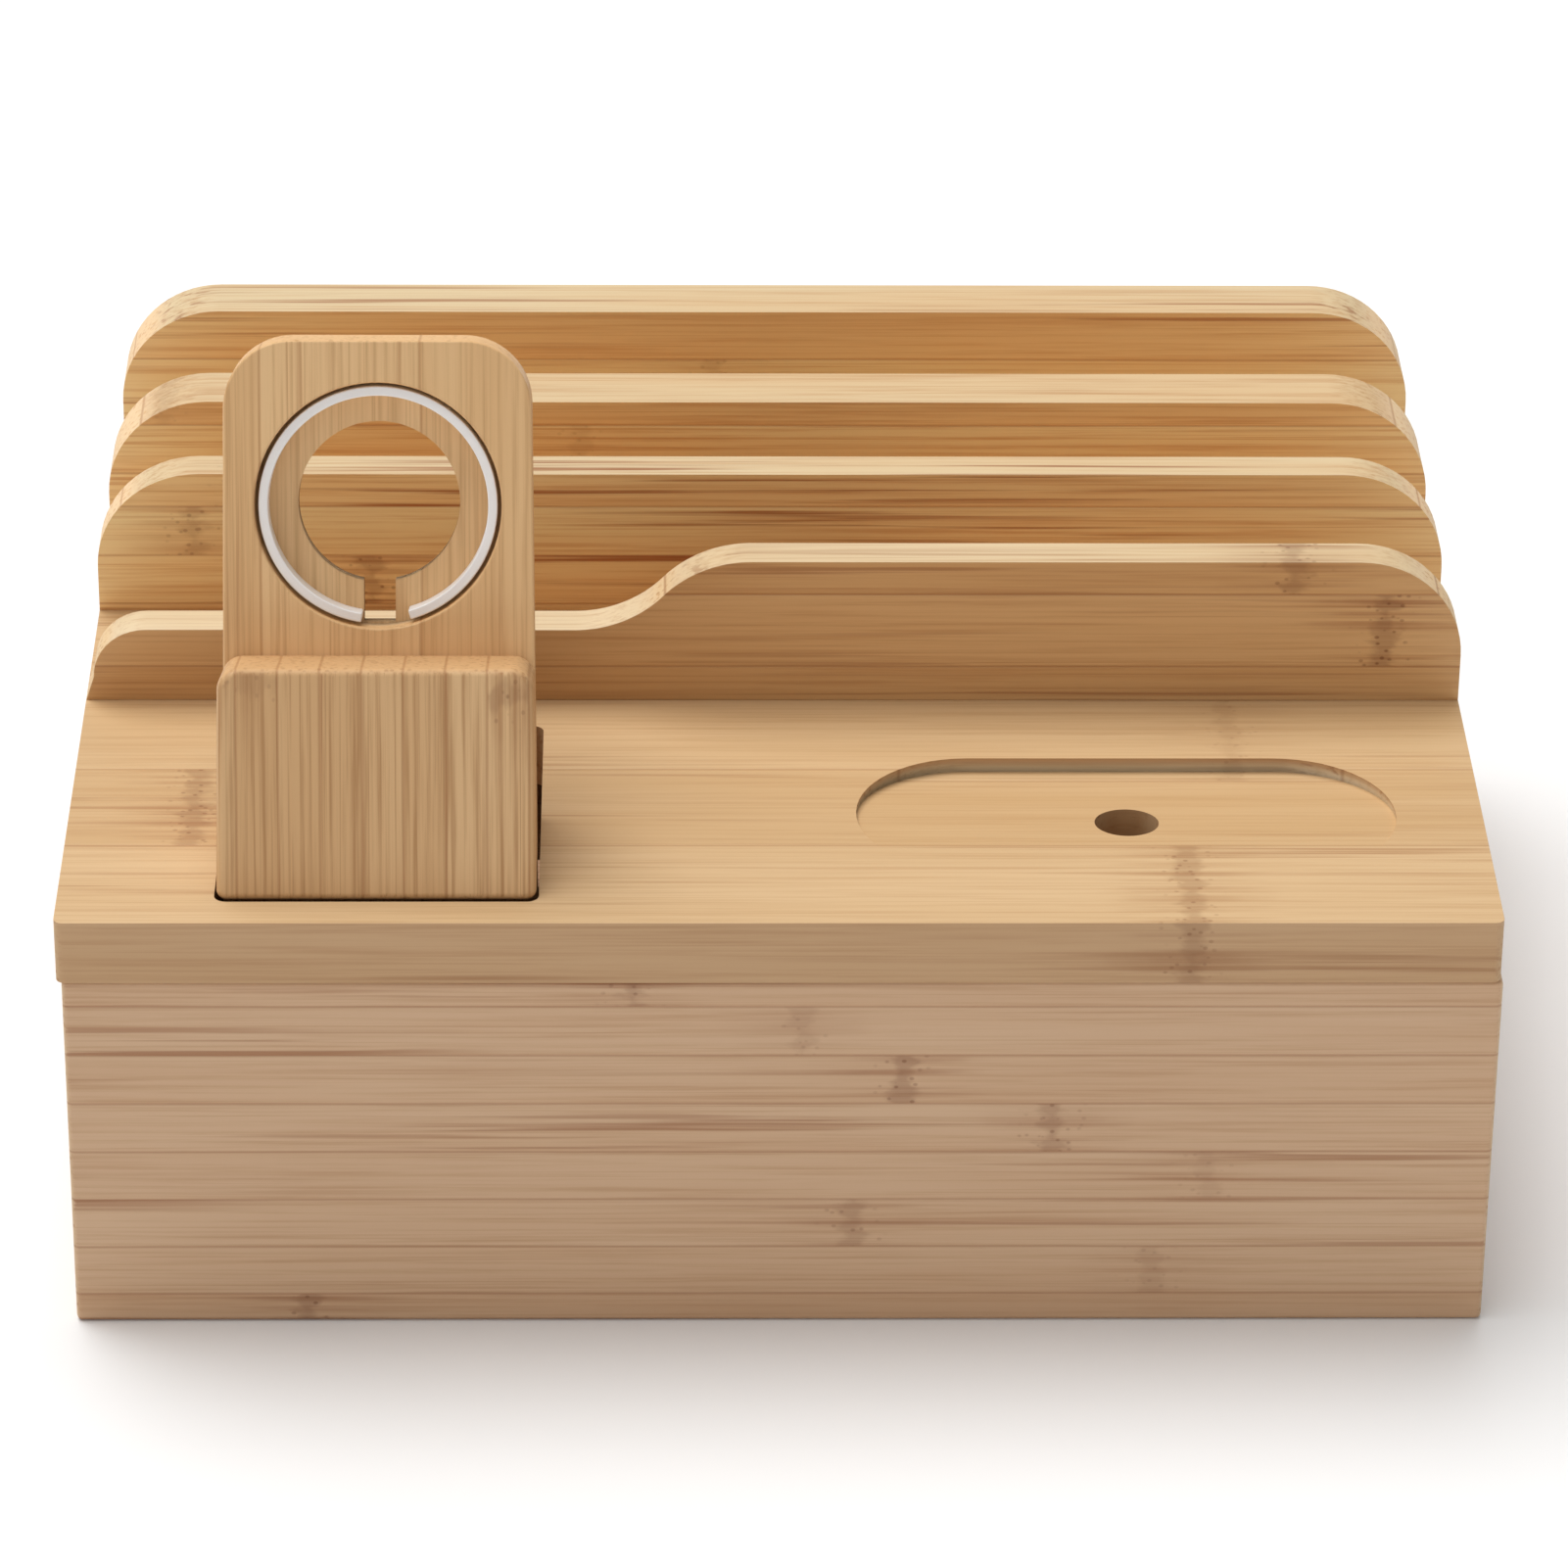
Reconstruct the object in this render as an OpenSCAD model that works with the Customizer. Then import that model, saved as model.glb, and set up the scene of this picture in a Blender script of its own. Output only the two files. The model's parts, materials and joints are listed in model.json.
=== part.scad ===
// Charging station organizer: a wooden box under a loose lid board. The lid carries four upright
// dividers for devices, a shallow sloping dock for a phone, and a leaning watch stand that is
// pulled out of its socket along its own lean. Sizes are in millimetres.
// The origin is the middle of the box's underside. The front faces -Y and +Z is up.

/* [Box] */
// Outer width of the box
box_w = 180; // [165:1:240]
// Height of the box walls
box_h = 50.4; // [40:0.1:90]
// Thickness of the four walls
wall_t = 8; // [6:0.5:10]
// Thickness of the base board
base_t = 5; // [3:0.5:8]
// Depth of the rabbets that join the walls and the base
rabbet = 4; // [2:0.5:5]
// Width of the cord notch in the back wall
notch_w = 40; // [15:1:80]
// Depth of the cord notch below the top of the back wall
notch_h = 15; // [8:0.5:25]
// Corner radius of the cord notch
notch_r = 4; // [1:0.5:6]

/* [Lid board] */
// Thickness of the lid board
lid_t = 8.6; // [6:0.1:12]
// How far the lid stands out past each side of the box
lid_side_over = 0.15; // [0:0.05:2]
// How far the lid stands out past the front and the back of the box
lid_front_over = 0.3; // [0:0.05:2]
// How far the loose lid lies off the middle of the box, to the right
lid_shift = -0.5; // [-0.8:0.1:0.8]
// Radius of the lid's upright corners
lid_corner_r = 1.2; // [0.4:0.1:4]
// Depth of the open tray in front of the dividers
tray_d = 58.5; // [56:0.5:90]
// Depth of the lid behind the rear divider
rear_lip = 2.6; // [0:0.1:10]
// Width of the battens that keep the lid in place
batten_w = 6; // [4:0.5:7]
// Height of the battens under the lid
batten_h = 8; // [4:0.5:12]
// Play between the battens and the walls
batten_play = 1; // [0.9:0.1:2]

/* [Dividers] */
// Height of the dividers above the lid
divider_h = 20.4; // [17:0.1:40]
// Thickness of the front divider
front_divider_t = 5.5; // [5:0.1:10]
// Thickness of the second divider
second_divider_t = 5.5; // [5:0.1:10]
// Thickness of the third divider
third_divider_t = 9.1; // [5:0.1:12]
// Thickness of the rear divider
rear_divider_t = 9; // [5:0.1:12]
// Gap between the front and the second divider
first_gap = 20; // [14:0.1:30]
// Gap between the second and the third divider
second_gap = 16.6; // [14:0.1:30]
// Gap between the third and the rear divider
third_gap = 19.8; // [19:0.1:30]
// Radius of the dividers' top corners
divider_end_r = 13.8; // [4:0.1:16]
// Height of the front divider's low part
step_h = 10.4; // [9.5:0.1:14]
// Left end of the lid to the middle of the front divider's step
step_x = 75.65; // [72:0.5:110]
// Length of the front divider's step
step_run = 23; // [14:0.5:40]
// Radius of the low part's outer corner
step_end_r = 7; // [2:0.5:9]
// How far the low part's end spreads towards the lid
step_end_flare = 1.1; // [0:0.1:2]
// Length of the cable slot in each gap
cable_slot_l = 34; // [16:1:60]
// Width of the cable slots
cable_slot_w = 9; // [6:0.5:11]

/* [Phone dock] */
// Width of the dock
dock_w = 69; // [50:0.5:72]
// Right end of the lid to the middle of the dock
dock_x = 45.55; // [45:0.5:48]
// Radius of the dock's round ends
dock_end_r = 14.7; // [10:0.1:16]
// Front edge of the lid to the middle line of the dock's ends
dock_y = 27.9; // [26:0.1:32]
// Front edge of the lid to where the dock's floor runs out
dock_runout = 19.4; // [18:0.1:22]
// Depth of the dock at its back edge
dock_depth = 2; // [1:0.1:3]
// Diameter of the hole for the plug
plug_hole_d = 8.2; // [5:0.1:10]
// Front edge of the lid to the middle of the plug hole
plug_hole_y = 26.7; // [24:0.1:32]

/* [Watch stand] */
// Angle by which the stand leans back
stand_lean = 19.5; // [14:0.5:24]
// Width of the stand at the lid
stand_w = 39.9; // [38:0.1:41]
// How much narrower the stand is at its top
stand_taper = 1.5; // [0:0.1:4]
// Length of the back plate above the lid, along its lean
plate_l = 68.7; // [66:0.1:90]
// Thickness of the back plate
plate_t = 7.5; // [6.5:0.1:9]
// Radius of the back plate's top corners
plate_corner_r = 8.5; // [3:0.1:12]
// Length of the tongue below the front block, along the lean
tongue_l = 15.2; // [12:0.1:18]
// Length of the front block, along the lean
block_l = 29.1; // [24:0.1:31]
// Thickness of the front block
block_t = 12.7; // [11:0.1:15]
// Radius of the front block's top corners
block_top_r = 2.7; // [1:0.1:6]
// Radius of the front block's bottom corners
block_bottom_r = 1.3; // [0.5:0.1:3]
// Middle of the charger hole above the front block's bottom edge
watch_hole_z = 47.9; // [46.9:0.1:50]
// Diameter of the seat for the charger and its ring
watch_seat_d = 31; // [29:0.1:32]
// Depth of that seat
watch_seat_depth = 4.7; // [3:0.1:5.5]
// Diameter of the hole behind the seat
watch_hole_d = 20.4; // [16:0.1:24]
// Width of the cable cut below the hole
cable_cut_w = 4; // [3:0.1:6]
// Left end of the lid to the middle of the stand
stand_x = 39.85; // [39:0.1:42]
// Front edge of the lid to the stand's hole
stand_hole_inset = 5.4; // [4:0.1:8]
// Depth of the stand's hole, front to back
stand_hole_d = 46; // [38:0.5:48]
// Corner radius of the stand's hole
stand_hole_r = 1.5; // [0.5:0.1:3]
// Clearance round the stand in its hole and its socket
stand_gap = 0.3; // [0.2:0.05:0.6]

/* [Retainer ring] */
// Clearance between the ring and the wall of its seat
ring_gap = 0.5; // [0.3:0.05:0.8]
// Wall of the ring
ring_t = 1.2; // [0.8:0.1:2]
// Height of the ring
ring_h = 4; // [2:0.1:6]
// Angle of the ring that is left open
ring_open = 24; // [10:1:90]
// How far the opening is turned from straight down
ring_turn = 3.5; // [-20:0.5:20]

/* [Stand socket] */
// Depth of the socket block, front to back
socket_d = 22; // [19:0.5:28]
// Height of the socket block under the lid
socket_h = 14.5; // [14:0.1:24]
// How far the socket block reaches past each side of the hole
socket_flange = 9; // [7:0.5:9]
// Depth of the screw pockets in the socket block
socket_screw_pocket = 6; // [5.5:0.5:8]

/* [Screws] */
// Diameter of the screw shanks
screw_d = 3; // [2:0.1:3.4]
// Diameter of the screw heads
screw_head_d = 6; // [4.5:0.1:7]
// Length of the screws
screw_l = 15; // [13.5:0.1:15.5]
// Clearance round the screws
screw_gap = 0.1; // [0.05:0.05:0.2]
// Number of screws in each divider
screws_per_divider = 3; // [2:1:5]
// Outer screws to the ends of the dividers
screw_inset = 20; // [19:0.5:26]

/* [Hidden] */
$fn = 96;

wood_box = "#b08e6a";
wood_lid = "#dcb788";
wood_divider = "#bf8c56";
wood_stand = "#bf9a6c";
wood_hidden = "#cda673";
white_plastic = "#e9e6e2";
steel = "#b9bcc0";

// Overshoot of every cut past the face that it opens
cut = 1;
// Points on each arc of the front divider's step
step_count = 20;
// Land between the cable cut and the wall of the charger's seat
cable_cut_land = 0.25;

divider_t = [front_divider_t, second_divider_t, third_divider_t, rear_divider_t];
divider_gap = [first_gap, second_gap, third_gap];
lid_d = tray_d + front_divider_t + first_gap + second_divider_t + second_gap
    + third_divider_t + third_gap + rear_divider_t + rear_lip;
lid_w = box_w + 2 * lid_side_over;
lid_top = box_h + lid_t;
lid_front = -lid_d / 2;
box_d = lid_d - 2 * lid_front_over;
inner_w = box_w - 2 * wall_t;
inner_d = box_d - 2 * wall_t;
base_w = inner_w + 2 * rabbet;
base_d = inner_d + 2 * rabbet;

lid_left = lid_shift - lid_w / 2;
lid_right = lid_shift + lid_w / 2;
stand_mid_x = lid_left + stand_x;
stand_hole_w = stand_w + 2 * stand_gap;
stand_foot_y = lid_front + stand_hole_inset + stand_gap;
dock_mid_x = lid_right - dock_x;
dock_back = dock_y + dock_end_r;
dock_slope = atan(dock_depth / (dock_back - dock_runout));

socket_w = stand_hole_w + 2 * socket_flange;
socket_front = -inner_d / 2 + batten_play;
batten_back = inner_d / 2 - batten_play;

ring_outer_r = watch_seat_d / 2 - ring_gap;
ring_inner_r = ring_outer_r - ring_t;
screw_head_h = (screw_head_d - screw_d) / 2;
screw_tip_h = screw_d;

function divider_y(i) = i == 0 ? lid_front + tray_d
    : divider_y(i - 1) + divider_t[i - 1] + divider_gap[i - 1];
function divider_mid_y(i) = divider_y(i) + divider_t[i] / 2;
function divider_screw_x(k) = lid_left + screw_inset
    + k * (lid_w - 2 * screw_inset) / (screws_per_divider - 1);
function stand_half_w(z) = (stand_w - stand_taper * max(z, 0) / plate_l) / 2;

// Rectangle with round corners, centred
module round_rect(w, d, r) {
    square([w - 2 * r, d], center = true);
    square([w, d - 2 * r], center = true);
    for (x = [-1, 1], y = [-1, 1])
        translate([x * (w / 2 - r), y * (d / 2 - r)])
            circle(r);
}

// Slot with round ends, centred, w across its ends
module round_slot(w, d) {
    square([w - d, d], center = true);
    for (x = [-1, 1])
        translate([x * (w - d) / 2, 0])
            circle(d = d);
}

// Stands a flat outline up, so that it faces the front and is t thick from y = 0 to y = t
module upright(t) {
    translate([0, t, 0])
        rotate([90, 0, 0])
            linear_extrude(t)
                children();
}

// What a round top corner at x takes off, on the left (side = -1) or on the right (side = 1)
module corner_waste(x, top, r, side) {
    translate([x, top - r])
        difference() {
            translate([side > 0 ? -r : -cut, 0])
                square([r + cut, r + cut]);
            translate([-side * r, 0])
                circle(r);
        }
}

module wall_panel() {
    difference() {
        translate([-box_w / 2, -box_d / 2, 0])
            cube([box_w, wall_t, box_h]);
        // Rabbets that take the ends of the side panels
        for (x = [-1, 1])
            translate([x * box_w / 2 - (x > 0 ? wall_t : cut), rabbet - box_d / 2, -cut])
                cube([wall_t + cut, wall_t, box_h + 2 * cut]);
        // Rabbet that takes the edge of the base board
        translate([-base_w / 2, -base_d / 2, -cut])
            cube([base_w, wall_t, base_t + cut]);
    }
}

module side_panel() {
    difference() {
        translate([inner_w / 2, -base_d / 2, 0])
            cube([wall_t, base_d, box_h]);
        translate([inner_w / 2 - cut, -base_d / 2 - cut, -cut])
            cube([rabbet + cut, base_d + 2 * cut, base_t + cut]);
    }
}

module front_panel() {
    color(wood_box)
        wall_panel();
}

module back_panel() {
    color(wood_box)
        difference() {
            mirror([0, 1, 0])
                wall_panel();
            translate([0, box_d / 2 - wall_t - cut, box_h - notch_h + notch_h / 2 + notch_r])
                upright(wall_t + 2 * cut)
                    round_rect(notch_w, notch_h + 2 * notch_r, notch_r);
        }
}

module left_panel() {
    color(wood_box)
        mirror([1, 0, 0])
            side_panel();
}

module right_panel() {
    color(wood_box)
        side_panel();
}

module base_panel() {
    color(wood_hidden)
        translate([-base_w / 2, -base_d / 2, 0])
            cube([base_w, base_d, base_t]);
}

// The screw lies along +Z with the flat of its head at z = 0
module screw_body(extra) {
    cylinder(h = screw_head_h, d1 = screw_head_d + 2 * extra, d2 = screw_d + 2 * extra);
    cylinder(h = screw_l - screw_tip_h, d = screw_d + 2 * extra);
    translate([0, 0, screw_l - screw_tip_h])
        cylinder(h = screw_tip_h + extra, d1 = screw_d + 2 * extra, d2 = screw_d / 4 + 2 * extra);
}

module screw() {
    recess_w = screw_d / 4;
    difference() {
        screw_body(0);
        for (a = [0, 90])
            rotate([0, 0, a])
                translate([-screw_head_d / 3, -recess_w / 2, -cut])
                    cube([screw_head_d * 2 / 3, recess_w, cut + screw_head_h * 0.7]);
    }
}

module screw_hole() {
    screw_body(screw_gap);
    translate([0, 0, -cut])
        cylinder(h = cut, d = screw_head_d + 2 * screw_gap);
}

// Puts its child at every screw that holds a divider
module at_divider_screws(i) {
    for (k = [0:screws_per_divider - 1])
        translate([divider_screw_x(k), divider_mid_y(i), box_h])
            children();
}

// Puts its child at both screws that hold the socket block
module at_socket_screws() {
    for (side = [-1, 1])
        translate([stand_mid_x + side * (stand_hole_w + socket_flange) / 2,
            socket_front + socket_d / 2, box_h - socket_h + socket_screw_pocket])
            children();
}

// The dock's floor slopes down to the back, and its walls are upright
module dock_waste() {
    translate([dock_mid_x, lid_front + dock_y, lid_top - 2 * dock_depth])
        intersection() {
            linear_extrude(2 * dock_depth + cut)
                round_slot(dock_w, 2 * dock_end_r);
            translate([-dock_w, dock_runout - dock_y, 2 * dock_depth])
                rotate([-dock_slope, 0, 0])
                    cube([2 * dock_w, 4 * dock_end_r, 4 * dock_end_r]);
        }
}

module lid_board() {
    color(wood_lid)
        difference() {
            translate([lid_shift, 0, box_h])
                linear_extrude(lid_t)
                    round_rect(lid_w, lid_d, lid_corner_r);
            dock_waste();
            translate([dock_mid_x, lid_front + plug_hole_y, box_h - cut])
                cylinder(h = lid_t + 2 * cut, d = plug_hole_d);
            translate([stand_mid_x, lid_front + stand_hole_inset + stand_hole_d / 2, box_h - cut])
                linear_extrude(lid_t + 2 * cut)
                    round_rect(stand_hole_w, stand_hole_d, stand_hole_r);
            for (i = [0:2])
                translate([lid_shift, divider_y(i + 1) - divider_gap[i] / 2, box_h - cut])
                    linear_extrude(lid_t + 2 * cut)
                        round_slot(cable_slot_l, cable_slot_w);
            for (i = [0:3])
                at_divider_screws(i)
                    screw_hole();
            at_socket_screws()
                screw_hole();
        }
}

// A strip under the lid along one side of the box, from y = front to the back
module side_batten(side, front) {
    outer = lid_shift + side * (inner_w / 2 - batten_play);
    color(wood_hidden)
        translate([side > 0 ? outer - batten_w : outer, front, box_h - batten_h])
            cube([batten_w, batten_back - front, batten_h]);
}

module left_batten() side_batten(-1, socket_front + socket_d + batten_w);

module right_batten() side_batten(1, -batten_back);

module plain_divider(i) {
    color(wood_divider)
        difference() {
            translate([lid_shift, divider_y(i), lid_top])
                upright(divider_t[i])
                    difference() {
                        translate([-lid_w / 2, 0])
                            square([lid_w, divider_h]);
                        for (side = [-1, 1])
                            corner_waste(side * lid_w / 2, divider_h, divider_end_r, side);
                    }
            at_divider_screws(i)
                screw_hole();
        }
}

// The step is two equal arcs that meet halfway, drawn from the low part to the high part
module stepped_outline() {
    rise = divider_h - step_h;
    turn = 2 * atan(rise / step_run);
    arc_r = step_run / 2 / sin(turn);
    left = -lid_w / 2;
    low_x = left + step_x - step_run / 2;
    high_x = left + step_x + step_run / 2;
    low_end = left + step_end_flare;
    difference() {
        polygon(concat(
            [[lid_w / 2, 0], [left, 0], [low_end, step_h - step_end_r], [low_end, step_h]],
            [for (i = [0:step_count])
                let (a = turn * i / step_count)
                [low_x + arc_r * sin(a), step_h + arc_r * (1 - cos(a))]],
            [for (i = [1:step_count])
                let (a = turn * (1 - i / step_count))
                [high_x - arc_r * sin(a), divider_h - arc_r * (1 - cos(a))]],
            [[lid_w / 2, divider_h]]));
        corner_waste(low_end, step_h, step_end_r, -1);
        corner_waste(lid_w / 2, divider_h, divider_end_r, 1);
    }
}

module front_divider() {
    color(wood_divider)
        difference() {
            translate([lid_shift, divider_y(0), lid_top])
                upright(front_divider_t)
                    stepped_outline();
            at_divider_screws(0)
                screw_hole();
        }
}

module second_divider() plain_divider(1);

module third_divider() plain_divider(2);

module rear_divider() plain_divider(3);

module lid_screws() {
    color(steel) {
        for (i = [0:3])
            at_divider_screws(i)
                screw();
        at_socket_screws()
            screw();
    }
}

// The stand's own frame: z runs up along its lean, y runs back through its thickness,
// and the origin is the front block's bottom front edge at the top of the lid
module in_stand() {
    translate([stand_mid_x, stand_foot_y, lid_top])
        rotate([-stand_lean, 0, 0])
            children();
}

// Outline of a board whose sides follow the stand's taper, with round top corners that
// touch the top and the leaning sides
module tapered_outline(bottom, top, r) {
    lean = atan(stand_taper / 2 / plate_l);
    mid_x = stand_half_w(top) + r * tan(lean) - r / cos(lean);
    mid_z = top - r;
    side_x = mid_x + r * cos(lean);
    side_z = mid_z + r * sin(lean);
    foot = stand_half_w(bottom);
    waist = stand_half_w(0);
    polygon([[foot, bottom], [waist, max(bottom, 0)], [side_x, side_z], [mid_x, top],
        [-mid_x, top], [-side_x, side_z], [-waist, max(bottom, 0)], [-foot, bottom]]);
    for (side = [-1, 1])
        translate([side * mid_x, mid_z])
            circle(r);
}

module watch_back_plate() {
    shoulder = block_t + watch_seat_depth;
    color(wood_stand)
        in_stand()
            difference() {
                translate([0, block_t, 0])
                    upright(plate_t)
                        tapered_outline(-tongue_l, plate_l, plate_corner_r);
                translate([0, block_t - cut, watch_hole_z])
                    rotate([-90, 0, 0])
                        cylinder(h = watch_seat_depth + cut, d = watch_seat_d);
                translate([0, block_t, watch_hole_z])
                    rotate([-90, 0, 0])
                        cylinder(h = plate_t + cut, d = watch_hole_d);
                translate([-cable_cut_w / 2, shoulder - cut, watch_hole_z - watch_seat_d / 2 + cable_cut_land])
                    cube([cable_cut_w, plate_t, watch_seat_d / 2]);
            }
}

module watch_front_block() {
    color(wood_stand)
        in_stand()
            upright(block_t)
                difference() {
                    tapered_outline(0, block_l, block_top_r);
                    for (side = [-1, 1])
                        mirror([0, 1])
                            corner_waste(side * stand_half_w(0), 0, block_bottom_r, side);
                }
}

// The open ring lies on the floor of its seat, with its opening towards the cable cut
module watch_retainer_ring() {
    reach = 2 * ring_outer_r;
    color(white_plastic)
        in_stand()
            translate([0, block_t + watch_seat_depth, watch_hole_z])
                rotate([90, 0, 0])
                    linear_extrude(ring_h)
                        difference() {
                            circle(ring_outer_r);
                            circle(ring_inner_r);
                            rotate([0, 0, ring_turn])
                                polygon([[0, 0], [-reach * tan(ring_open / 2), -reach],
                                    [reach * tan(ring_open / 2), -reach]]);
                        }
}

// A block under the lid whose slanting pocket takes the stand's tongue
module stand_socket() {
    color(wood_hidden)
        difference() {
            translate([stand_mid_x - socket_w / 2, socket_front, box_h - socket_h])
                cube([socket_w, socket_d, socket_h]);
            in_stand()
                translate([-stand_hole_w / 2, block_t - stand_gap, -tongue_l])
                    cube([stand_hole_w, plate_t + 2 * stand_gap, plate_l]);
            at_socket_screws() {
                screw_hole();
                translate([0, 0, -socket_h])
                    cylinder(h = socket_h, d = screw_head_d + 2 * screw_gap);
            }
        }
}

front_panel();
back_panel();
left_panel();
right_panel();
base_panel();
lid_board();
left_batten();
right_batten();
stand_socket();
front_divider();
second_divider();
third_divider();
rear_divider();
lid_screws();
watch_back_plate();
watch_front_block();
watch_retainer_ring();
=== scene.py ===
"""Looks of a bamboo charging station organizer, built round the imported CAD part.

Every wooden piece is the CAD node's own shape with its edges eased, under a procedural bamboo
whose strips, fibres, growth rings and end grain are laid out in metres. Object coordinates are
used throughout, so the grain stays with each piece.
"""

import json
from math import cos, radians, sin

import bmesh
import bpy
from mathutils import Matrix, Vector


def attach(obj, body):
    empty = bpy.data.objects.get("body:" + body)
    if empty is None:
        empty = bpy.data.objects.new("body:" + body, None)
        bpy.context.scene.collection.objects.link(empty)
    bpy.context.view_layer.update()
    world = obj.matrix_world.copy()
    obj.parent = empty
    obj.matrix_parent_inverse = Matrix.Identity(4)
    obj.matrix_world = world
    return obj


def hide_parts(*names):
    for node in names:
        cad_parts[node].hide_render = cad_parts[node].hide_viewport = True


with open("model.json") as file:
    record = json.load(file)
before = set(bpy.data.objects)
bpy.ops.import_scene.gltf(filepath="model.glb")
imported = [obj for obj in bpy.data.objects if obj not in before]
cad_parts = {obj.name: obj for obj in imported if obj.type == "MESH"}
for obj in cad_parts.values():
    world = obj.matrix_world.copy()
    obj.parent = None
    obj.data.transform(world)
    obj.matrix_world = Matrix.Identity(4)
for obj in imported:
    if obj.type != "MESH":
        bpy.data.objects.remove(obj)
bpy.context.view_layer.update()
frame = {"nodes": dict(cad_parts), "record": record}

MM = 0.001
# Edges sharper than this are eased
EASED_ANGLE = radians(28)
# Faces that meet flatter than this become one
FLAT_ANGLE = radians(0.8)
# Corners closer than this become one
WELD_DISTANCE = 0.002 * MM
# How far the larger faces lead the shading over the eased edges
NORMAL_WEIGHT = 80
X = Vector((1, 0, 0))
Y = Vector((0, 1, 0))
Z = Vector((0, 0, 1))

# Camera, solved from the edges of the box, the lid and the dividers
CAMERA_AT = Vector((-0.016356, -0.821736, 0.492217))
CAMERA_YAW = radians(1.2333)
CAMERA_PITCH = radians(28.913)
CAMERA_ROLL = radians(0.6056)
CAMERA_LENS = 160.04
CAMERA_SENSOR = 36

# The watch stand leans back by this angle, and its grain runs up along it
STAND_LEAN = radians(19.5)
STAND_UP = Vector((0, sin(STAND_LEAN), cos(STAND_LEAN)))
STAND_BACK = Vector((0, cos(STAND_LEAN), -sin(STAND_LEAN)))

# Where the front block meets the top of the lid, and the middle of the charger's hole above it
STAND_FOOT = Vector((-50.8, -67.6, 59)) * MM
WATCH_HOLE = STAND_FOOT + STAND_UP * 47.9 * MM
WATCH_SEAT_RADIUS = 15.5 * MM


def linear(red, green, blue):
    """A screen colour from 0 to 255 as linear light."""
    def channel(value):
        value /= 255
        return value / 12.92 if value <= 0.04045 else ((value + 0.055) / 1.055) ** 2.4
    return (channel(red), channel(green), channel(blue), 1)


class Value:
    """A number in a shader, so that its maths reads as Python."""

    def __init__(self, graph, socket):
        self.graph = graph
        self.socket = socket

    def math(self, operation, *others, clamp=False):
        node = self.graph.add("ShaderNodeMath", operation=operation, use_clamp=clamp)
        for place, value in enumerate((self, *others)):
            self.graph.feed(node.inputs[place], value)
        return Value(self.graph, node.outputs[0])

    def __add__(self, other):
        return self.math("ADD", other)

    def __sub__(self, other):
        return self.math("SUBTRACT", other)

    def __mul__(self, other):
        return self.math("MULTIPLY", other)

    def __truediv__(self, other):
        return self.math("DIVIDE", other)

    def __rsub__(self, other):
        return (self * -1) + other

    __radd__ = __add__
    __rmul__ = __mul__

    def floor(self):
        return self.math("FLOOR")

    def fraction(self):
        return self.math("FRACT")

    def size(self):
        return self.math("ABSOLUTE")

    def least(self, other):
        return self.math("MINIMUM", other)

    def clamped(self):
        return self.math("ADD", 0, clamp=True)

    def ramp(self, low, high):
        """0 up to low, 1 from high, and smooth between them."""
        node = self.graph.add("ShaderNodeMapRange", interpolation_type="SMOOTHSTEP")
        self.graph.feed(node.inputs["Value"], self)
        node.inputs["From Min"].default_value = low
        node.inputs["From Max"].default_value = high
        return Value(self.graph, node.outputs["Result"])


class Graph:
    """A material's nodes."""

    def __init__(self, name):
        self.material = bpy.data.materials.new(name)
        self.material.use_nodes = True
        self.tree = self.material.node_tree
        self.shader = self.tree.nodes["Principled BSDF"]

    def add(self, kind, inputs=None, **settings):
        node = self.tree.nodes.new(kind)
        for key, value in settings.items():
            setattr(node, key, value)
        for key, value in (inputs or {}).items():
            self.feed(node.inputs[key], value)
        return node

    def feed(self, socket, value):
        """Links a value to a socket, or sets the socket to a constant."""
        if isinstance(value, Value):
            value = value.socket
        if isinstance(value, bpy.types.NodeSocket):
            self.tree.links.new(value, socket)
        else:
            socket.default_value = value

    def place(self, output="Object"):
        """Where a point of the surface lies, in metres, or its "Normal"."""
        return self.add("ShaderNodeTexCoord").outputs[output]

    def along(self, place, direction):
        """How far a vector reaches in a direction."""
        node = self.add("ShaderNodeVectorMath", operation="DOT_PRODUCT")
        self.feed(node.inputs[0], place)
        node.inputs[1].default_value = direction
        return Value(self, node.outputs["Value"])

    def vector(self, x, y, z):
        return self.add("ShaderNodeCombineXYZ", {"X": x, "Y": y, "Z": z}).outputs[0]

    def noise(self, vector, detail=2.0, roughness=0.5, scale=1.0):
        inputs = {"Vector": vector, "Scale": scale, "Detail": detail, "Roughness": roughness}
        return Value(self, self.add("ShaderNodeTexNoise", inputs).outputs[0])

    def cells(self, vector):
        inputs = {"Vector": vector, "Scale": 1.0}
        return Value(self, self.add("ShaderNodeTexVoronoi", inputs).outputs["Distance"])

    def random(self, number):
        node = self.add("ShaderNodeTexWhiteNoise", noise_dimensions="1D")
        self.feed(node.inputs["W"], number)
        return Value(self, node.outputs["Value"])

    def mix(self, share, first, second, blend="MIX"):
        node = self.add("ShaderNodeMix", data_type="RGBA", blend_type=blend)
        self.feed(node.inputs[0], share)
        self.feed(node.inputs[6], first)
        self.feed(node.inputs[7], second)
        return node.outputs[2]

    def bump(self, height, strength, distance):
        inputs = {"Height": height, "Strength": strength, "Distance": distance}
        return self.add("ShaderNodeBump", inputs).outputs[0]


# The bamboo's patterns, in waves a metre along the grain, across the strips and through the board
FIBRES = (28, 1500, 1500)
THREADS = (16, 3400, 3400)
CLOUDS = (11, 130, 130)
LINES = (13, 950, 950)
PATCHES = (8, 95, 60)
RAGGED_RINGS = (240, 620, 620)
RING_DOTS = (700, 900, 900)
CUT_FIBRES = (900, 1250, 1250)
CUT_PATCHES = (300, 420, 420)

# Offsets that keep a strip's random numbers apart
TURN_DRAW = 40.5
PLAIN_DRAW = 77.5


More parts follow.
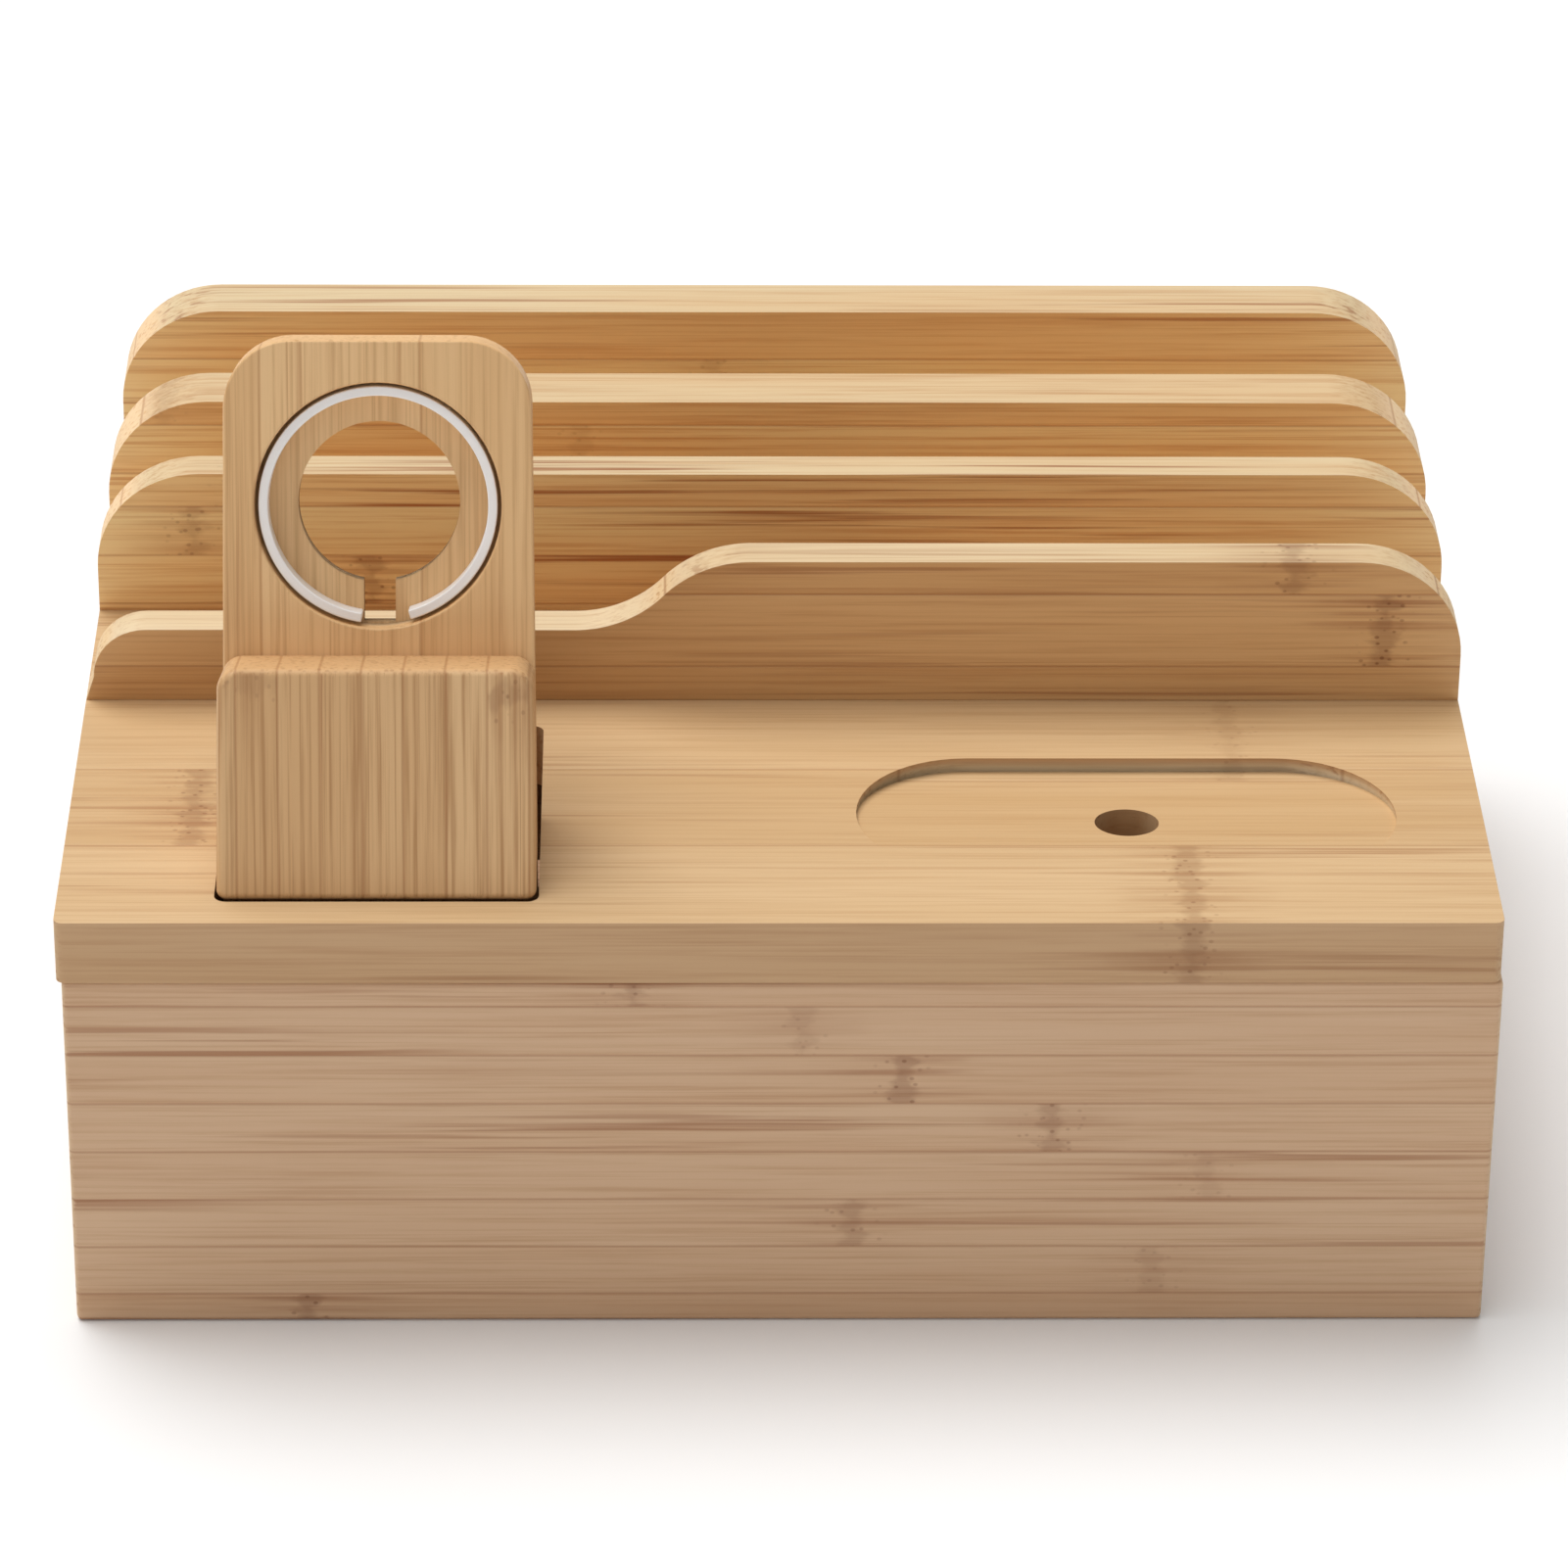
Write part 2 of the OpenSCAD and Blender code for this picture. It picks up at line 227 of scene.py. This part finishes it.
def bamboo(name, grain, across, strip, colours, seed, ring_gap=210 * MM, streaks=1.0, contrast=1.0):
    """Laminated bamboo whose fibres run along grain, in strips that lie side by side along across."""
    g = Graph(name)
    place = g.place()
    a = g.along(place, grain)
    c = g.along(place, across) + (1 + seed * 0.137) * strip
    d = g.along(place, grain.cross(across))
    number = (c / strip).floor()
    part = (c / strip).fraction()
    border = part.least(1 - part) * strip
    tone = g.random(number + seed)
    turn = g.random(number + seed + TURN_DRAW)
    plain = g.random(number + seed + PLAIN_DRAW).ramp(0.1, 0.9) * 0.65 + 0.35
    shift = number * 3.7 + seed

    def waves(size, slip=0, sink=0):
        return g.vector(a * size[0] + slip, c * size[1], d * size[2] + sink)

    fibre = g.noise(waves(FIBRES, sink=shift), 4, 0.6)
    thread = g.noise(waves(THREADS, sink=shift), 2)
    cloud = g.noise(waves(CLOUDS, sink=shift), 3)
    line = g.noise(waves(LINES, slip=shift), 3)
    patch = g.noise(waves(PATCHES, slip=shift), 2)
    streak = line.ramp(0.53, 0.68) * patch.ramp(0.46, 0.64) * streaks
    seam = 1 - border.ramp(0.03 * MM, 0.28 * MM)

    # A growth ring crosses each strip at its own place, with a ragged edge and a few dots
    ragged = g.noise(waves(RAGGED_RINGS, sink=shift), 3) - 0.5
    from_ring = (((a / ring_gap + turn).fraction() - 0.5) * ring_gap).size() + ragged * 6.2 * MM
    ring = 1 - from_ring.ramp(0.4 * MM, 2.2 * MM)
    halo = (1 - from_ring.ramp(1 * MM, 13 * MM)) * line.ramp(0.4, 0.62)
    dots = 1 - g.cells(waves(RING_DOTS)).ramp(0.12, 0.3)
    dots = dots * (1 - from_ring.ramp(2 * MM, 5 * MM))

    light = (tone * 0.75 + cloud.ramp(0.3, 0.7) * 0.45).clamped()
    colour = g.mix(light, colours["mid"], colours["light"])
    colour = g.mix(fibre.ramp(0.42, 0.78) * 0.5 * contrast, colour, colours["dark"])
    colour = g.mix(thread.ramp(0.56, 0.72) * 0.34 * contrast, colour, colours["dark"])
    colour = g.mix((streak * 0.72).clamped(), colour, colours["streak"])
    colour = g.mix((halo * plain * 0.42).clamped(), colour, colours["streak"])
    colour = g.mix(((ring * 0.36 + dots * 0.42) * plain).clamped(), colour, colours["knot"])
    colour = g.mix(seam * 0.42, colour, colours["streak"])

    # Sawn ends show pale wood flecked by the cut fibres
    end = g.along(g.place("Normal"), grain).size().ramp(0.45, 0.8)
    fleck = 1 - g.cells(waves(CUT_FIBRES)).ramp(0.2, 0.46)
    fleck = fleck * g.noise(waves(CUT_PATCHES), 2).ramp(0.3, 0.62)
    grain_end = g.mix(fleck * 0.75, colours["end"], colours["dark"])
    grain_end = g.mix(seam * 0.5, grain_end, colours["streak"])
    colour = g.mix(end * 0.85, colour, grain_end)

    # Painted light: an upper face takes the "top" tint, so it shows lighter or cooler than the faces
    # at its side, as the light falls on it
    if "top" in colours:
        painted_top_light = g.along(g.place("Normal"), Z).ramp(0.3, 0.8) * (1 - end)
        colour = g.mix(painted_top_light, colour, g.mix(1, colour, colours["top"], "MULTIPLY"))

    height = fibre * 0.5 + thread * 0.2 - streak * 0.25 - seam * 0.9 - ring * 0.5 - end * fleck * 0.6
    shader = g.shader.inputs
    g.feed(shader["Base Color"], colour)
    g.feed(shader["Roughness"], fibre * 0.16 + streak * 0.08 + end * 0.14 + 0.4)
    g.feed(shader["Normal"], g.bump(height, 0.35, 0.12 * MM))
    shader["Specular IOR Level"].default_value = 0.38
    return g.material


# The "top" tints are painted light, multiplied into the upper faces only
LID_WOOD = {
    "top": (1.17, 1.27, 1.28, 1),
    "light": linear(197, 160, 120),
    "mid": linear(186, 146, 103),
    "dark": linear(164, 118, 74),
    "streak": linear(146, 95, 54),
    "knot": linear(125, 78, 44),
    "end": linear(197, 163, 123),
}
BOX_WOOD = {
    "light": linear(212, 178, 144),
    "mid": linear(201, 161, 124),
    "dark": linear(177, 131, 91),
    "streak": linear(154, 101, 64),
    "knot": linear(129, 82, 52),
    "end": linear(212, 182, 145),
}
FRONT_DIVIDER_WOOD = {
    "top": (1.07, 1.38, 1.9, 1),
    "light": linear(217, 174, 122),
    "mid": linear(202, 153, 97),
    "dark": linear(174, 116, 63),
    "streak": linear(145, 83, 40),
    "knot": linear(116, 64, 32),
    "end": linear(229, 198, 151),
}
# Painted light: the rear dividers' wood is painted paler than the front divider's, standing in for
# the light from the front that falls on them between the dividers
REAR_DIVIDER_WOOD_PAINTED_LIGHT = {
    "top": (0.78, 0.88, 1.15, 1),
    "light": linear(246, 216, 156),
    "mid": linear(239, 190, 125),
    "dark": linear(207, 145, 82),
    "streak": linear(172, 104, 53),
    "knot": linear(138, 81, 44),
    "end": linear(238, 206, 164),
}
STAND_WOOD = {
    "light": linear(223, 184, 136),
    "mid": linear(210, 167, 118),
    "dark": linear(174, 128, 81),
    "streak": linear(159, 106, 61),
    "knot": linear(131, 86, 52),
    "end": linear(210, 166, 115),
}
PLATE_WOOD = {
    "light": linear(236, 197, 146),
    "mid": linear(223, 179, 126),
    "dark": linear(185, 138, 87),
    "streak": linear(169, 114, 66),
    "knot": linear(139, 93, 56),
    "end": linear(223, 178, 123),
}


def white_plastic():
    """Moulded plastic with a very fine grain and slight unevenness."""
    g = Graph("white_plastic")
    grain = g.noise(g.place(), 2, scale=2600)
    broad = g.noise(g.place(), 2, scale=140)
    colour = g.mix(broad, linear(244, 241, 239), linear(252, 250, 248))
    g.feed(g.shader.inputs["Base Color"], colour)
    g.feed(g.shader.inputs["Roughness"], grain * 0.12 + 0.3)
    g.feed(g.shader.inputs["Normal"], g.bump(grain, 0.15, 0.04 * MM))
    return g.material


def plated_steel():
    """Zinc plated steel with turning marks and worn patches."""
    g = Graph("plated_steel")
    place = g.place()
    x, y, z = (g.along(place, axis) for axis in (X, Y, Z))
    marks = g.noise(g.vector(x * 300, y * 300, z * 5200), 3)
    worn = g.noise(place, 4, scale=900)
    colour = g.mix(worn.ramp(0.35, 0.7), linear(176, 180, 186), linear(205, 206, 204))
    g.feed(g.shader.inputs["Base Color"], colour)
    g.feed(g.shader.inputs["Roughness"], marks * 0.2 + worn * 0.15 + 0.2)
    g.feed(g.shader.inputs["Normal"], g.bump(marks, 0.3, 0.05 * MM))
    g.shader.inputs["Metallic"].default_value = 1
    return g.material


def in_watch_hole(point):
    """Whether a point lies on the floor of the charger's seat, in the hole or in the cable cut."""
    away = point - WATCH_HOLE
    away -= STAND_BACK * away.dot(STAND_BACK)
    return away.length < WATCH_SEAT_RADIUS - 0.05 * MM


def eased(node, radius, material, segments=3, keeps_sharp=None):
    """The CAD node's shape with its outer edges eased by radius, in place of the node."""
    shape = bmesh.new()
    shape.from_mesh(frame["nodes"][node].data)
    bmesh.ops.remove_doubles(shape, verts=shape.verts, dist=WELD_DISTANCE)
    bmesh.ops.dissolve_limit(shape, angle_limit=FLAT_ANGLE, verts=shape.verts, edges=shape.edges)
    bmesh.ops.recalc_face_normals(shape, faces=shape.faces)
    weight = shape.edges.layers.float.new("bevel_weight_edge")
    for edge in shape.edges:
        middle = (edge.verts[0].co + edge.verts[1].co) / 2
        outer = edge.is_manifold and edge.calc_face_angle_signed() > EASED_ANGLE
        edge[weight] = 1 if outer and not (keeps_sharp and keeps_sharp(middle)) else 0
    mesh = bpy.data.meshes.new(node + "_look")
    shape.to_mesh(mesh)
    shape.free()
    draft = bpy.data.objects.new(node + "_draft", mesh)
    bpy.context.scene.collection.objects.link(draft)
    bevel = draft.modifiers.new("ease", "BEVEL")
    bevel.width = radius
    bevel.segments = segments
    bevel.limit_method = "WEIGHT"
    bevel.miter_outer = "MITER_ARC"
    for face in mesh.polygons:
        face.use_smooth = True
    weights = draft.modifiers.new("normals", "WEIGHTED_NORMAL")
    weights.keep_sharp = True
    weights.weight = NORMAL_WEIGHT
    graph = bpy.context.evaluated_depsgraph_get()
    final = bpy.data.meshes.new_from_object(draft.evaluated_get(graph), depsgraph=graph)
    bpy.data.objects.remove(draft)
    final.materials.clear()
    final.materials.append(material)
    piece = bpy.data.objects.new(node + "_eased", final)
    bpy.context.scene.collection.objects.link(piece)
    record = frame["record"]
    body = next(name for name, nodes in record["behaviour"]["bodies"].items() if node in nodes)
    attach(piece, body)
    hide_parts(node)
    return piece


BOX_STRIP = 7.1 * MM
DIVIDER_STRIP = 7.3 * MM
BOX_EASE = 0.7 * MM
HIDDEN_EASE = 0.5 * MM
DIVIDER_EASE = 0.55 * MM

# The box: narrow strips lie on top of each other on every wall
eased("front_panel", BOX_EASE, bamboo("box_front", X, Z, BOX_STRIP, BOX_WOOD, 3))
eased("back_panel", BOX_EASE, bamboo("box_back", X, Z, BOX_STRIP, BOX_WOOD, 11))
eased("left_panel", HIDDEN_EASE, bamboo("box_left", Y, Z, BOX_STRIP, BOX_WOOD, 17))
eased("right_panel", HIDDEN_EASE, bamboo("box_right", Y, Z, BOX_STRIP, BOX_WOOD, 23))
eased("base_panel", 0.3 * MM, bamboo("box_base", X, Y, 18 * MM, BOX_WOOD, 29))

# The lid and what is fixed on it and under it
lid = bamboo("lid_top", X, Y, 20 * MM, LID_WOOD, 5, ring_gap=260 * MM, streaks=0.8, contrast=0.85)
eased("lid_board", 0.6 * MM, lid)
front = bamboo("divider_1", X, Z, 10.6 * MM, FRONT_DIVIDER_WOOD, 7,
               ring_gap=300 * MM, streaks=0.7, contrast=0.9)
eased("front_divider", DIVIDER_EASE, front)
second = bamboo("divider_2", X, Z, DIVIDER_STRIP, REAR_DIVIDER_WOOD_PAINTED_LIGHT, 13,
                ring_gap=250 * MM, streaks=1.35, contrast=1.3)
eased("second_divider", DIVIDER_EASE, second)
third = bamboo("divider_3", X, Z, DIVIDER_STRIP, REAR_DIVIDER_WOOD_PAINTED_LIGHT, 19,
               ring_gap=250 * MM, streaks=1.6, contrast=1.5)
eased("third_divider", DIVIDER_EASE, third)
rear = bamboo("divider_4", X, Z, 9.3 * MM, REAR_DIVIDER_WOOD_PAINTED_LIGHT, 31,
              ring_gap=280 * MM, streaks=1.0, contrast=1.15)
eased("rear_divider", DIVIDER_EASE, rear)
eased("left_batten", HIDDEN_EASE, bamboo("batten_left", Y, X, 6 * MM, BOX_WOOD, 37))
eased("right_batten", HIDDEN_EASE, bamboo("batten_right", Y, X, 6 * MM, BOX_WOOD, 41))
eased("stand_socket", HIDDEN_EASE, bamboo("socket_block", X, Y, 7.3 * MM, BOX_WOOD, 43))

# The watch stand: its grain runs up along its lean
plate = bamboo("stand_plate", STAND_UP, X, 20 * MM, PLATE_WOOD, 2,
               ring_gap=300 * MM, streaks=0.7, contrast=1.2)
eased("watch_back_plate", 0.5 * MM, plate, keeps_sharp=in_watch_hole)
block = bamboo("stand_block", STAND_UP, X, 5.2 * MM, STAND_WOOD, 8,
               ring_gap=300 * MM, streaks=1.0, contrast=1.8)
eased("watch_front_block", 0.95 * MM, block, segments=4)
eased("watch_retainer_ring", 0.2 * MM, white_plastic())

screws = frame["nodes"]["lid_screws"]
screws.data.materials.clear()
screws.data.materials.append(plated_steel())


def make_camera():
    """The camera that the photograph was taken with."""
    data = bpy.data.cameras.new("camera")
    data.lens = CAMERA_LENS
    data.sensor_width = CAMERA_SENSOR
    data.sensor_fit = "HORIZONTAL"
    data.clip_start = 0.01
    camera = bpy.data.objects.new("camera", data)
    level_reach = cos(CAMERA_PITCH)
    ahead = Vector((sin(CAMERA_YAW) * level_reach, cos(CAMERA_YAW) * level_reach, -sin(CAMERA_PITCH)))
    level = Vector((cos(CAMERA_YAW), -sin(CAMERA_YAW), 0))
    above = level.cross(ahead)
    right = level * cos(CAMERA_ROLL) + above * sin(CAMERA_ROLL)
    up = above * cos(CAMERA_ROLL) - level * sin(CAMERA_ROLL)
    turn = Matrix((right, up, -ahead)).transposed().to_4x4()
    camera.matrix_world = Matrix.Translation(CAMERA_AT) @ turn
    bpy.context.scene.collection.objects.link(camera)
    bpy.context.scene.camera = camera


def make_light(name, direction, strength, softness):
    """A soft distant light that shines from the given direction."""
    data = bpy.data.lights.new(name, "SUN")
    data.energy = strength
    data.angle = radians(softness)
    light = bpy.data.objects.new(name, data)
    light.rotation_euler = Vector(direction).to_track_quat("Z", "Y").to_euler()
    bpy.context.scene.collection.objects.link(light)


def make_floor(size):
    """A plain pale floor under the part."""
    mesh = bpy.data.meshes.new("floor")
    corners = [(-size, -size, 0), (size, -size, 0), (size, size, 0), (-size, size, 0)]
    mesh.from_pydata(corners, [], [(0, 1, 2, 3)])
    floor = bpy.data.objects.new("floor", mesh)
    bpy.context.scene.collection.objects.link(floor)
    g = Graph("floor")
    g.shader.inputs["Base Color"].default_value = (0.9, 0.9, 0.9, 1)
    g.shader.inputs["Roughness"].default_value = 0.9
    g.shader.inputs["Specular IOR Level"].default_value = 0
    mesh.materials.append(g.material)


def make_world(level):
    """White to the camera, and a plain grey level of light to everything else."""
    world = bpy.data.worlds.new("studio")
    world.use_nodes = True
    nodes = world.node_tree.nodes
    links = world.node_tree.links
    seen = nodes["Background"]
    seen.inputs["Color"].default_value = (1, 1, 1, 1)
    light = nodes.new("ShaderNodeBackground")
    light.inputs["Color"].default_value = (1, 0.985, 0.965, 1)
    light.inputs["Strength"].default_value = level
    path = nodes.new("ShaderNodeLightPath")
    mix = nodes.new("ShaderNodeMixShader")
    links.new(path.outputs["Is Camera Ray"], mix.inputs[0])
    links.new(light.outputs[0], mix.inputs[1])
    links.new(seen.outputs[0], mix.inputs[2])
    links.new(mix.outputs[0], nodes["World Output"].inputs["Surface"])
    bpy.context.scene.world = world


make_camera()
make_light("key", (-0.25, 0.3, 1), 2.9, 50)
make_light("fill", (-0.5, -1, 0.8), 0.42, 60)
make_floor(4)
make_world(0.28)
bpy.context.scene.view_settings.view_transform = "Standard"
